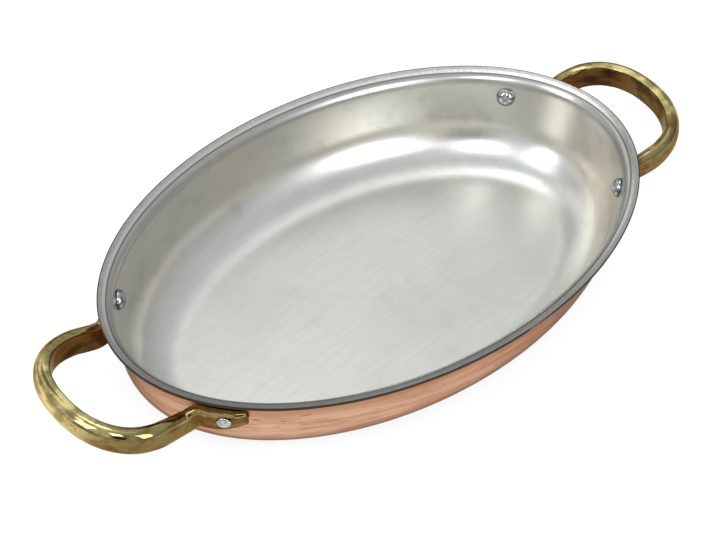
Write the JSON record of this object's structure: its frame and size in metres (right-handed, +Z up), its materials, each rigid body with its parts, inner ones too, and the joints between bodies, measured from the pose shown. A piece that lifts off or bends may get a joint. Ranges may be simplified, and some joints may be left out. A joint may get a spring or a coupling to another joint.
{
  "type": "oval pan",
  "caption": "Oval copper fish pan with a pale metal lining, a flared lip and a cast brass loop handle riveted on at each end.",
  "frame": {"origin": "middle of the underside, on the surface the pan stands on", "axes": "+X along the long axis of the oval towards the right-hand handle, +Y across the pan, +Z up out of the pan"},
  "size_m": [0.377, 0.194, 0.05],
  "materials": {
    "copper": "satin, finely brushed",
    "lining": "satin, with fine circular scouring",
    "brass": "cast and polished",
    "rivet": "bright"
  },
  "bodies": {
    "root": {"copper_shell": "copper", "lining": "lining", "handle_right": "brass", "handle_left": "brass", "rivet_right_back": "rivet", "rivet_right_front": "rivet", "rivet_left_back": "rivet", "rivet_left_front": "rivet"}
  },
  "joints": []
}
